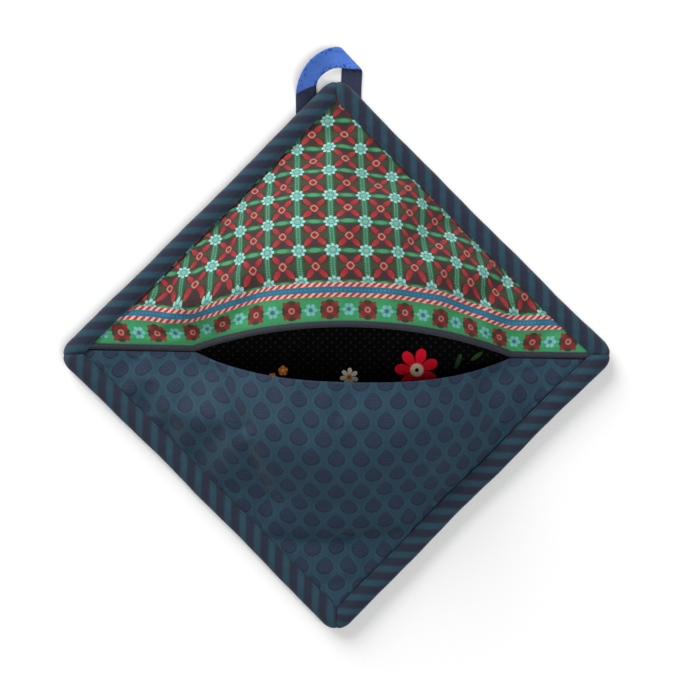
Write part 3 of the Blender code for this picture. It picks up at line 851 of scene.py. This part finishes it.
def draw_flower_print(u, v, place):
    """From the mouth up: flowered border, twisted cord, blue band, twisted cord and lattice."""
    low_cord, high_cord = CORDS_V
    mottle = place.noise(0.75, 2.0)
    wander = (place.noise(1.1, 1.0) - 0.5) * 0.5
    u, v = u + wander, v - wander
    dot_u, dot_v = u.repeat(2.1), v - (low_cord + high_cord) / 2.0
    dot = (dot_u * dot_u + dot_v * dot_v).maths("SQRT")
    colour = paint(
        BAND_BLUE, (v.eased(22.6, 22.9), draw_lattice(u, v, mottle)),
        (dot.fading(0.25, 0.5) * 0.3, AQUA), (v.fading(15.3, 15.6), draw_border(u, v, mottle)))
    for middle in CORDS_V:
        away = abs(v - middle)
        twist = abs((u - (v - middle) * 1.2).repeat(CORD_PITCH))
        ink = twist.eased(0.8, 1.3).lay(CANDY_RED, CANDY_CREAM)
        colour = away.fading(0.95, 1.2).lay(colour, ink)
    return colour, 0.0


flower_cloth = cloth_material("flower lattice print", draw_flower_print)
upper_pocket = pocket_mesh(
    "upper_pocket", "upper_hand_pocket", [flower_cloth, lining_cloth], 0.7, 4.5)
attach(upper_pocket, "root")
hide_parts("upper_pocket")

TEAL = dye(33, 57, 74)
TEAL_NET = dye(33, 64, 77)
MEDALLION = dye(32, 46, 66)
MEDALLION_INK = dye(23, 34, 48)
MEDALLION_HEART = dye(42, 44, 66)
SCALE_U, SCALE_V = 13.2, 10.0


def draw_teal_print(u, v, place):
    """Staggered medallions with pointed tops, ribs and a dark lower rim, in a greener net."""
    mottle = place.noise(0.45, 3.0)
    wander = (place.noise(0.9, 1.0) - 0.5) * 0.9
    u, v = u + wander, v - wander
    row = v.whole(SCALE_V)
    x = abs((u + row * (SCALE_U / 2.0)).repeat(SCALE_U))
    y = v.repeat(SCALE_V)
    wide = x / (4.7 - y * 0.32)
    tall = abs(y + 0.2) / 5.0
    reach = (wide.maths("POWER", 1.7) + tall.maths("POWER", 1.7)).maths("POWER", 0.588)
    rim = abs(reach - 0.86).fading(0.03, 0.14) * (0.55 - y * 0.1)
    rib = (y * 3.6 + x * x * 0.35).maths("SINE").eased(0.1, 0.9) * reach.fading(0.55, 0.8)
    ink = paint(
        MEDALLION, (rim.maths("MAXIMUM", 0.0), MEDALLION_INK),
        (reach.fading(0.3, 0.7) * mottle.eased(0.45, 0.7), MEDALLION_HEART),
        (rib * mottle.eased(0.3, 0.6) * 0.7, MEDALLION_INK), (mottle.eased(0.5, 0.8) * 0.5, TEAL))
    return paint(
        TEAL, (reach.fading(1.05, 1.4) * 0.9, TEAL_NET), (reach.fading(0.9, 1.06), ink)), 0.0


teal_cloth = cloth_material("teal scale print", draw_teal_print)
lower_pocket = pocket_mesh(
    "lower_pocket", "lower_hand_pocket", [teal_cloth, lining_cloth], 1.2, 1.0)
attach(lower_pocket, "root")
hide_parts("lower_pocket")

# ---- Mouth lip ---------------------------------------------------------------------------------
# Narrow strip of plum cotton folded over the upper pocket's mouth edge and sewn along it.
# It runs the whole diagonal, from the striped binding on the left to the one on the right.
LIP_CLOTH = 0.6
LIP_EDGE_SHARE = 0.55
LIP_COLUMNS = 260
LIP_ROWS = 22
BINDING_HEM = 11.0
LIP_SECTION = (          # (back from the mouth edge, above the pocket's middle)
    (3.3, 1.45), (3.05, 1.66), (1.6, 1.65), (0.45, 1.15), (0, 0), (0.45, -1.15), (2.6, -1.6),
)
LIP_SEAM = 0.75
LIP_PULL = 0.22


def unit(vectors):
    return vectors / np.linalg.norm(vectors, axis=-1)[..., None]


def path_length(path):
    """Running length along a path: the sum of the chords up to each point."""
    return np.concatenate([[0.0], np.cumsum(np.linalg.norm(np.diff(path, axis=0), axis=1))])


def smooth_section(section, count):
    """A section's corners joined by cubic pieces over the chord length: both columns and it."""
    corners = np.array(section)
    chord = path_length(corners)
    places = np.linspace(0.0, chord[-1], count)
    columns = [smooth_table(places, join(chord, column)) for column in corners.T]
    return *columns, places


def mouth_frame(x):
    """On the upper pocket's mouth edge at x: the lip's middle, and the ways inward and up."""
    y = mouth_edge(x, POCKETS["upper_pocket"])
    edge = join(x, y, POCKET_BASE + pocket_height("upper_pocket", x, y))
    behind = join(x, y + 3.5, POCKET_BASE + pocket_height("upper_pocket", x, y + 3.5))
    inward = unit(behind - edge)
    up = unit(np.cross(unit(np.gradient(edge, axis=0)), inward))
    return edge + LIP_EDGE_SHARE * POCKET_THICK / 2.0 * up, inward, up


def lip_points(x, back, above):
    """The section carried along the mouth edge: middle + back * inward + above * up."""
    middle, inward, up = mouth_frame(x)
    back = back - POCKETS["upper_pocket"]["back_off"]
    return middle + back[:, None, None] * inward + above[:, None, None] * up


lip_end = (HALF_SIDE - BINDING_HEM - 0.3) * ROOT2 - 2.6
lip_x = np.linspace(-lip_end, lip_end + 2.0, LIP_COLUMNS)
lip_back, lip_above, lip_round = smooth_section(LIP_SECTION, LIP_ROWS)
lip_outer = lip_points(lip_x, lip_back, lip_above)
lip_normal = -grid_normals(lip_outer)
seam_pull = LIP_PULL * bell(lip_round - LIP_SEAM, 0.45)[:, None, None]
lip_outer = lip_outer - seam_pull * lip_normal
lip_length = np.cumsum(np.linalg.norm(np.gradient(lip_outer[4], axis=0), axis=-1))
lip_flat = join(lip_length, lip_round[:, None])

LIP_PLUM = dye(40, 42, 50)
LIP_GREY = dye(50, 53, 60)


def draw_lip(u, v, place):
    """Plum cloth whose threads vary a little from light to dark."""
    return place.noise(0.6, 4.0).lay(LIP_PLUM, LIP_GREY), 0.0


lip_cloth = cloth_material("plum lip cloth", draw_lip, pitch=0.45)
lip_inner = lip_outer - LIP_CLOTH * lip_normal
mouth_lip = cloth_mesh("mouth_lip", lip_outer, lip_inner, lip_flat, [lip_cloth])
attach(mouth_lip, "root")
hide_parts("upper_pocket_lip")

# ---- Striped binding ---------------------------------------------------------------------------
# Four bias strips of teal and plum striped cotton, folded over the raw edges of panel and
# pockets and sewn through.  They meet in mitred seams at the corners, round the nose of which
# the cloth is drawn in.
BINDING_CLOTH = 1.1
BINDING_SECTION = (      # (inset from the outline, height), from the front hem round to the back
    (11, 8.9), (8.5, 9.25), (6, 9.4), (3.4, 9.1), (1.4, 8.1), (0.35, 6.6), (0, 5), (0.3, 3.4),
    (1.3, 2.1), (3.4, 1.4), (11, 1.3),
)
BINDING_STRIPS = (       # (name, quarter turn of its side, width, where cut, how far stretched)
    ("binding_upper_right", 0, 11.0, 1.8, 1.0),
    ("binding_upper_left", 1, 10.8, 4.3, 1.0),
    ("binding_lower_left", 2, 12.0, 4.2, 1.0),
    ("binding_lower_right", 3, 11.4, 7.6, 0.96),
)
ARC_STATIONS = 12
SIDE_STATIONS = 150
SECTION_ROWS = 40
MITRE_GAP = 0.06
MITRE_GROOVE = 0.42
BINDING_WAVER = 0.28
HEM_STITCH = 1.5
STITCH_PITCH = 3.1

STRIPE_TEAL = dye(33, 61, 75)
STRIPE_PLUM = dye(32, 36, 52)
STRIPE_PITCH = 11.45


def draw_stripes(u, v, place):
    """Stripes at an eighth of a turn to the strip, plum and teal by turns, with fine threads."""
    away = abs((u - v).repeat(STRIPE_PITCH))
    threads = (away * 5.5).maths("SINE") * 0.35 + place.noise(0.5, 3.0) * 0.8
    return (away + threads - 0.4).eased(2.1, 4.4).lay(STRIPE_PLUM, STRIPE_TEAL), 0.0


striped_cloth = cloth_material("striped bias cloth", draw_stripes, pitch=0.45)


def binding_stations(inner_start, inner_end):
    """Stations along one side: place and inset of the outline, an arc, a straight and an arc, and
    the place on the straight inner hem."""
    straight = HALF_SIDE - CORNER_RADIUS
    angles = np.linspace(math.pi / 4.0, 0.0, ARC_STATIONS + 1)
    arc_t = straight + CORNER_RADIUS * np.sin(angles)
    arc_inset = CORNER_RADIUS * (1.0 - np.cos(angles))
    middle = np.linspace(-straight, straight, SIDE_STATIONS + 1)[1:-1]
    outer_t = np.concatenate([-arc_t, middle, arc_t[::-1]])
    outer_inset = np.concatenate([arc_inset, np.zeros_like(middle), arc_inset[::-1]])
    share = (outer_t - outer_t[0]) / (outer_t[-1] - outer_t[0])
    inner_t = inner_start + (inner_end - inner_start) * share
    gap = MITRE_GAP * np.linspace(1.0, -1.0, len(outer_t))
    return outer_t + gap, outer_inset, inner_t + gap


def binding_surface(quarter, width, width_before, width_after, insets, heights):
    """The strip's outside before it swells: each section row lies between outline and hem by its
    inset's share, turned round to its side of the square."""
    outer_t, outer_inset, inner_t = binding_stations(
        width_before - HALF_SIDE, HALF_SIDE - width_after)
    share = insets[:, None] / BINDING_HEM
    t = outer_t + (inner_t - outer_t) * share
    waver = soft_waves(t, 0.0 * t + 40.0 * quarter, 21, 18.0, 70.0) * (1.0 - (t / HALF_SIDE) ** 4)
    depth = outer_inset + (width - outer_inset) * share + BINDING_WAVER * waver
    out = HALF_SIDE - depth
    turn = quarter * math.pi / 2.0
    p = out * math.cos(turn) - t * math.sin(turn)
    q = out * math.sin(turn) + t * math.cos(turn)
    return join(*to_plan(p, q), heights[:, None]), t


def binding_pieces(name, quarter, width, cut_at, stretch, width_before, width_after):
    insets, heights, around = smooth_section(BINDING_SECTION, SECTION_ROWS)
    plain, t = binding_surface(quarter, width, width_before, width_after, insets, heights)
    outward = grid_normals(plain)
    outward = outward * np.sign(outward[2, SIDE_STATIONS // 2, 2])
    from_hem = around[:, None]
    wave = np.cos(2.0 * math.pi * t / STITCH_PITCH)
    hems = bell(from_hem - HEM_STITCH, 0.75) + bell(around[-1] - from_hem - HEM_STITCH, 0.75)
    plump = bell(from_hem - 4.6, 2.6)
    to_mitre = np.minimum(t - t[:, :1], t[:, -1:] - t)
    groove = bell(to_mitre, 0.9)
    wander = 2.0 * soft_waves(t, 0.0 * t, 5, 20.0, 60.0)
    twist = np.sin(2.0 * math.pi * (t + 0.7 * from_hem) / 9.3 + wander)
    swell = -hems * (0.34 - 0.12 * wave) + plump * (0.10 * twist + 0.10) - MITRE_GROOVE * groove
    outer = plain + swell[..., None] * outward
    edge = np.minimum(from_hem, around[-1] - from_hem)
    nose = round_nose(edge, 0.7)
    inner = outer - BINDING_CLOTH * (0.5 + 0.5 * nose) * outward
    outer = outer - BINDING_CLOTH * (0.5 - 0.5 * nose) * outward
    flat = join(t / stretch + cut_at, from_hem)
    strip = cloth_mesh("striped_" + name, outer[::-1], inner[::-1], flat[::-1], [striped_cloth])
    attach(strip, "root")
    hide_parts(name)
    return outer, outward, around


bindings = []
for number, strip in enumerate(BINDING_STRIPS):
    width_before = BINDING_STRIPS[number - 1][2]
    width_after = BINDING_STRIPS[(number + 1) % len(BINDING_STRIPS)][2]
    bindings.append(binding_pieces(*strip, width_before, width_after))

# ---- Stitches ----------------------------------------------------------------------------------
# Machine stitches in dark cotton thread: along both hems of the binding, along the lip, and
# through the panel along its quilting lines.  Each shows as a short thread that dips in at
# both ends.
THREAD_RADIUS = 0.17
THREAD_DIP = 0.16
THREAD_SHARE = 0.68
RING = np.arange(6) * math.pi / 3.0
STATIONS = np.array([-0.78, 0.0, 0.78])
STATION_RADII = np.array([0.8, 1.0, 0.8])


def make_thread(name, dark, light, sheen):
    """Two-ply thread: its plies wind round it as slanting bands, each painted light on its crown
    and dark in the groove beside it, painted highlight and painted shade, and raised on the bump as
    well.
    """
    def draw_plies_with_painted_shade(u, v, place):
        # Painted light and shade: dark in the grooves between the plies, light on their crowns.
        ply = (u * 7.0 + v * 6.0).maths("SINE").eased(-0.6, 0.9)
        return ply.lay(dark, light), ply * 0.4
    return cloth_material(name, draw_plies_with_painted_shade, pitch=0.3, sheen=sheen)


# Each thread's first colour is its painted groove shade, and its second its painted crown light.
thread = make_thread("dark sewing thread", dye(22, 26, 36), dye(40, 46, 58), 0.1)
black_thread = make_thread("black sewing thread", dye(4, 4, 5), dye(16, 16, 18), 0.03)


def sew(name, material, path, up, pitch=STITCH_PITCH):
    """Stitches along a path: each is an ellipsoid-like thread of six sides between two poles,
    carried to its place along the path; the same small grid of offsets serves them all."""
    length = path_length(path)
    number = int(length[-1] / pitch)
    middles = (np.arange(number) + 0.5) * length[-1] / number

    def at(values, places):
        return join(*[np.interp(places, length, column) for column in values.T])

    half = 0.5 * THREAD_SHARE * pitch
    start, end = at(path, middles - half), at(path, middles + half)
    middle, ups = (start + end) / 2.0, unit(at(up, middles))
    axis = unit(end - start)
    side = unit(np.cross(ups, axis))
    ups = np.cross(axis, side)
    station = np.repeat(STATIONS, len(RING))
    ring = np.tile(RING, len(STATIONS))
    size = np.repeat(STATION_RADII, len(RING)) * THREAD_RADIUS
    along = np.concatenate([[-1.0], station, [1.0]])
    sideways = np.concatenate([[0.0], np.cos(ring) * size, [0.0]])
    upwards = np.concatenate([[0.0], np.sin(ring) * size, [0.0]])
    upwards = upwards - THREAD_DIP * along ** 2 + THREAD_RADIUS * 0.5
    points = (middle[:, None] + along[:, None] * half * axis[:, None]
              + sideways[:, None] * side[:, None] + upwards[:, None] * ups[:, None])
    rings = 1 + np.arange(len(station)).reshape(len(STATIONS), len(RING))
    after = np.roll(rings, -1, axis=1)
    quads = join(rings[:-1], after[:-1], after[1:], rings[1:]).reshape(-1, 4)
    triangles = np.concatenate([join(0, after[0], rings[0]),
                                join(len(along) - 1, rings[-1], after[-1])])
    shift = (np.arange(number) * len(along))[:, None, None]
    corners = np.concatenate([(quads + shift).ravel(), (triangles + shift).ravel()])
    sizes = np.concatenate([np.full(number * len(quads), 4), np.full(number * len(triangles), 3)])
    u = (along * half + middles[:, None]).ravel()
    v = np.tile(np.concatenate([[0.0], ring * THREAD_RADIUS, [0.0]]), number)
    maps = {"Cloth": join(u, v)}
    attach(new_mesh(name, points.reshape(-1, 3), corners, sizes, maps, [material]), "root")


for (strip_name, *_), (outer, outward, around) in zip(BINDING_STRIPS, bindings):
    front_row = int(np.argmin(np.abs(around - HEM_STITCH)))
    back_row = int(np.argmin(np.abs(around[-1] - around - HEM_STITCH)))
    for face, row in (("front", front_row), ("back", back_row)):
        trim = slice(4, -4)
        sew(f"stitches_{face}_{strip_name}", thread, outer[row, trim], outward[row, trim])

lip_row = int(np.argmin(np.abs(lip_round - LIP_SEAM)))
sew("stitches_mouth_lip", thread, lip_outer[lip_row], lip_normal[lip_row], pitch=2.6)

quilt_t = np.linspace(-100.0, 100.0, 260)
for number in range(-2, 2):
    level = (number + 0.5) * QUILT_PITCH
    fixed = np.full_like(quilt_t, level)
    for direction, line in (("up", (fixed, quilt_t)), ("across", (quilt_t, fixed))):
        for face, upward, path in zip(("front", "back"), (1.0, -1.0), panel_points(*line)):
            toward = np.zeros_like(path) + (0.0, 0.0, upward)
            sew(f"quilting_{direction}_{number + 2}_{face}", black_thread, path, toward, pitch=3.4)

# ---- Hanging loop ------------------------------------------------------------------------------
# Flat printed cotton tape, blue on one face and dark plum on the other.  It rises from the
# binding's seam left of the top corner, arches over and is folded under on the right.
LOOP_WIDTH = 11.5
LOOP_THICK = 0.9
LOOP_ROLL = 0.95
LOOP_START = (-12.67, 157.23)
LOOP_LEFT_LEG = 25.0
LOOP_FOLD = 21.7
LOOP_CREASE = math.radians(-46.6)
LOOP_RIGHT_LEG = 27.3
LOOP_HEADINGS = (        # (along the tape, heading in degrees)
    (-25, 91), (-13, 86), (-6, 71), (-1, 55), (4, 39.5), (10, 24.5), (15.5, 5.5), (20, -7),
    (25, -2.5), (49, -2.5),
)
LOOP_HEIGHTS = (         # (along the tape, height of its middle)
    (-25, 0.5), (-21, 0.5), (-18, 0.6), (-14, 1.2), (-9, 3.45), (-4, 4.05), (2, 3.8), (10, 4.4),
    (17, 3), (21.5, 2.43), (23.5, 2.42), (49, 2.42),
)
LOOP_TILTS = (           # (along the tape, degrees by which its outer edge is raised)
    (-25, 0), (-20, 0), (-14, 5), (-9, 27), (-4, 34), (2, 31), (10, 20), (17, 0), (21, 0), (24, 0),
    (49, 0),
)
TAPE_END = -10.6
TAPE_BLUE = dye(64, 104, 190)
TAPE_BLUE_PALE = dye(80, 122, 202)
TAPE_SPECK = dye(34, 66, 150)
TAPE_PLUM = dye(48, 54, 78)
TAPE_PLUM_DARK = dye(32, 34, 56)


def roll_under(points, crease_point, crease_angle):
    """Rolls what lies beyond a crease line round a cylinder, then back flat under the rest."""
    normal = np.array([-math.sin(crease_angle), math.cos(crease_angle)])
    beyond = (points[..., :2] - np.array(crease_point)) @ normal
    turn = np.clip(beyond / LOOP_ROLL, 0.0, math.pi)
    past = np.clip(beyond - math.pi * LOOP_ROLL, 0.0, None)
    new_beyond = np.where(beyond > 0.0, LOOP_ROLL * np.sin(turn) - past, beyond)
    rolled = points.copy()
    rolled[..., :2] += (new_beyond - beyond)[..., None] * normal
    rolled[..., 2] -= LOOP_ROLL * (1.0 - np.cos(turn))
    return rolled


def loop_middle(stations):
    """Middle line of the tape seen from above: the running sum of its heading's cosine and sine,
    shortened where it climbs."""
    fine = np.linspace(-LOOP_LEFT_LEG, LOOP_FOLD + LOOP_RIGHT_LEG, 800)
    heading = np.radians(smooth_table(fine, LOOP_HEADINGS))
    rise = np.gradient(smooth_table(fine, LOOP_HEIGHTS), fine)
    step = np.gradient(fine) / np.sqrt(1.0 + rise ** 2)
    x = np.cumsum(np.cos(heading) * step)
    y = np.cumsum(np.sin(heading) * step)
    x += LOOP_START[0] - np.interp(0.0, fine, x)
    y += LOOP_START[1] - np.interp(0.0, fine, y)
    return [np.interp(stations, fine, values) for values in (x, y, heading)]


def draw_blue_face(u, v, place):
    """Blue tape face with short darker marks along its two edges; past a slanting line near its
    lower left end it is coloured dark plum, with a small step in the bump along that line."""
    near_edge = abs(v).eased(2.2, 3.8)
    marks = place.noise(0.55, 1.0).eased(0.56, 0.62)
    colour = paint(TAPE_BLUE, (place.noise(0.12), TAPE_BLUE_PALE), (marks * near_edge, TAPE_SPECK))
    # Past this slanting line the face takes the dark plum colours, and the bump steps up along the
    # line.
    dark_end_share = (u + v * 0.62).eased(TAPE_END - 0.15, TAPE_END + 0.15)
    dark = place.noise(0.4).lay(TAPE_PLUM_DARK, TAPE_PLUM)
    return dark_end_share.lay(dark, colour), dark_end_share * 3.0


def draw_dark_face(u, v, place):
    """The tape's other face, dark plum, with its middle seam a little darker."""
    seam = abs(v + 1.2).fading(0.1, 0.5)
    colour = place.noise(0.4).lay(TAPE_PLUM_DARK, TAPE_PLUM)
    return (seam * 0.7).lay(colour, TAPE_PLUM_DARK), seam * -0.8


blue_face = cloth_material("blue tape face", draw_blue_face, pitch=0.42)
dark_face = cloth_material("dark tape face", draw_dark_face, pitch=0.42)

loop_s = np.linspace(-LOOP_LEFT_LEG, LOOP_FOLD + LOOP_RIGHT_LEG, 260)
loop_v = LOOP_WIDTH / 2.0 * np.sin(np.linspace(-math.pi / 2.0, math.pi / 2.0, 25))[:, None]
loop_x, loop_y, loop_heading = loop_middle(loop_s)
crease_x, crease_y, _ = loop_middle(LOOP_FOLD)
loop_tilt = np.radians(smooth_table(loop_s, LOOP_TILTS))
loop_points = join(
    loop_x - loop_v * np.cos(loop_tilt) * np.sin(loop_heading),
    loop_y + loop_v * np.cos(loop_tilt) * np.cos(loop_heading),
    smooth_table(loop_s, LOOP_HEIGHTS) + loop_v * np.sin(loop_tilt),
)
loop_points = roll_under(loop_points, (crease_x, crease_y), LOOP_CREASE)
loop_normal = grid_normals(loop_points)
selvedge = np.sqrt(1.0 - np.clip(np.abs(loop_v) / (LOOP_WIDTH / 2.0), 0.0, 1.0) ** 12)[..., None]
loop_half = LOOP_THICK / 2.0 * selvedge * loop_normal
loop_flat = join(loop_s, loop_v)
loop_blue, loop_dark = loop_points + loop_half, loop_points - loop_half
hanging_loop = cloth_mesh(
    "tape_hanging_loop", loop_blue, loop_dark, loop_flat, [blue_face, dark_face])
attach(hanging_loop, "root")
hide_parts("hanging_loop")

# ---- Studio ------------------------------------------------------------------------------------
# Plain white table, a low window-like lamp from the upper left, a high soft lamp opposite it,
# and an even pale surround.
CAMERA_PLACE = (0.0074, 0.0028, 0.9)
CAMERA_LENS = 83.4
TABLE_WHITE = (0.83, 0.83, 0.83, 1.0)
TABLE_REACH = 12000.0

table_paint = bpy.data.materials.new("white table")
table_paint.use_nodes = True
table_shader = table_paint.node_tree.nodes["Principled BSDF"]
table_shader.inputs["Base Color"].default_value = TABLE_WHITE
table_shader.inputs["Roughness"].default_value = 0.9
table_shader.inputs["Specular IOR Level"].default_value = 0.1
table_corners = TABLE_REACH * np.array([(-1, -1, 0), (1, -1, 0), (1, 1, 0), (-1, 1, 0)])
table_top = new_mesh("table_top", table_corners, np.arange(4), [4], {}, [table_paint])

world = bpy.data.worlds.new("pale surround")
world.use_nodes = True
background = world.node_tree.nodes["Background"]
background.inputs["Color"].default_value = (0.95, 0.97, 1.0, 1.0)
background.inputs["Strength"].default_value = 0.15
bpy.context.scene.world = world


def add_lamp(name, place, size, power, colour):
    lamp = bpy.data.lights.new(name, "AREA")
    lamp.shape = "DISK"
    lamp.size = size
    lamp.energy = power
    lamp.color = colour
    holder = new_object(name, lamp)
    holder.location = place
    holder.rotation_mode = "QUATERNION"
    holder.rotation_quaternion = (-Vector(place)).to_track_quat("-Z", "Y")


add_lamp("low_window_lamp", (-1.65, 2.63, 1.38), 2.8, 184.0, (1.0, 0.99, 0.98))
add_lamp("high_fill_lamp", (1.15, -0.97, 2.83), 2.6, 78.0, (1.0, 1.0, 1.0))

camera = bpy.data.cameras.new("camera")
camera.lens = CAMERA_LENS
camera.sensor_width = 36.0
camera.clip_start, camera.clip_end = 0.05, 20.0
camera_holder = new_object("camera", camera)
camera_holder.location = CAMERA_PLACE
bpy.context.scene.camera = camera_holder
bpy.context.scene.view_settings.view_transform = "Standard"
